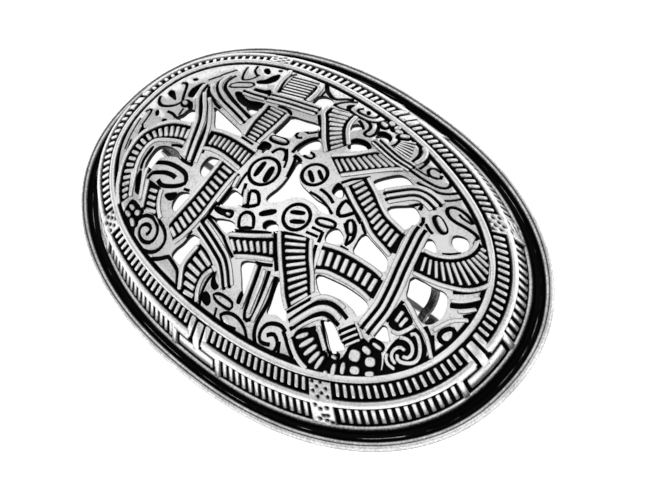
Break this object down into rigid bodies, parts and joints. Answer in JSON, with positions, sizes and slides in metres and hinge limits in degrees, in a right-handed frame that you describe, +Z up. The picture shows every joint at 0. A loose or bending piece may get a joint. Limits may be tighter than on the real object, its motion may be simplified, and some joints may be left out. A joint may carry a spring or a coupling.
{
  "type": "tortoise brooch",
  "caption": "Oval domed brooch of cast metal with raised rope-like bands, round eyes and pierced openwork inside ladder rings, with a pin and catch under it.",
  "frame": {"origin": "centre of the oval, on the plane that the rim rests on", "axes": "+X along the long axis towards the catch, +Y along the short axis, +Z up out of the dome"},
  "size_m": [0.08, 0.0536, 0.0147],
  "materials": {
    "cast_metal": "polished crests over blackened recesses",
    "pin_metal": "plain drawn wire"
  },
  "bodies": {
    "root": {"casting": "cast_metal", "pin": "pin_metal", "hinge_rivet": "pin_metal"}
  },
  "joints": []
}
